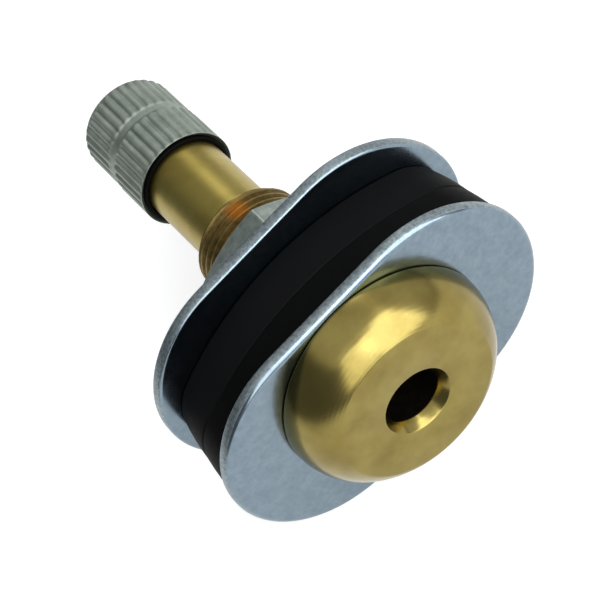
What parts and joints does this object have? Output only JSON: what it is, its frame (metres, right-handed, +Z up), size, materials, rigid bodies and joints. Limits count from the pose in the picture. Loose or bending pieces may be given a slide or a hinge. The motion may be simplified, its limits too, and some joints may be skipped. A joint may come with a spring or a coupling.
{
  "type": "tyre valve",
  "caption": "Clamp-in tyre valve for an oval rim hole: brass head and stem, oval steel plates squeezing rubber gaskets, hex nut, sprung core and knurled screw cap.",
  "frame": {"origin": "on the surface that the valve lies on, under the middle of its length", "axes": "+Y along the valve axis from the head to the cap, X along the length of the oval plates, +Z up"},
  "size_m": [0.042, 0.0596, 0.027],
  "materials": {
    "brass": "turned",
    "zinc": "bright zinc plated",
    "nut_zinc": "zinc plated",
    "nickel": "dull nickel plated",
    "rubber": "moulded",
    "seal_rubber": "moulded",
    "core_brass": "turned",
    "core_seal": "moulded",
    "spring_steel": "drawn wire"
  },
  "bodies": {
    "valve_body": {"valve_stem": "brass", "inner_plate": "zinc", "inner_gasket": "rubber", "core_plug": "core_brass", "core_barrel": "core_brass", "core_barrel_seal": "core_seal", "core_spring": "spring_steel"},
    "outer_clamp": {"outer_gasket": "rubber", "outer_plate": "zinc"},
    "nut": {"hex_nut": "nut_zinc"},
    "cap_lift": {"cap_seal": "seal_rubber"},
    "cap": {"cap_shell": "nickel", "cap_ring": "seal_rubber"},
    "core_plunger": {"core_pin": "core_brass", "core_cup": "core_brass", "core_cup_seal": "seal_rubber"}
  },
  "joints": [
    {"name": "clamp_slide", "type": "slide", "parent": "valve_body", "child": "outer_clamp", "axis": [0, 1, 0], "range_m": [0, 0.0049]},
    {"name": "nut_turn", "type": "hinge", "parent": "outer_clamp", "child": "nut", "pos_m": [0, -0.00585, 0.0135], "axis": [0, 1, 0], "range_deg": [0, 1810]},
    {"name": "cap_slide", "type": "slide", "parent": "valve_body", "child": "cap_lift", "axis": [0, 1, 0], "range_m": [0, 0.0087]},
    {"name": "cap_turn", "type": "hinge", "parent": "cap_lift", "child": "cap", "pos_m": [0, 0.02, 0.0135], "axis": [0, 1, 0], "range_deg": [0, 3960]},
    {"name": "pin_press", "type": "slide", "parent": "valve_body", "child": "core_plunger", "axis": [0, -1, 0], "range_m": [0, 0.0014], "stiffness_N_per_m": 100, "springref_m": -0.006, "deforming": ["core_spring"]}
  ],
  "couplings": [
    {"joint": "nut_turn", "follows": "clamp_slide", "rad_per_m": 6411.4},
    {"joint": "cap_turn", "follows": "cap_slide", "rad_per_m": 7913.3}
  ]
}
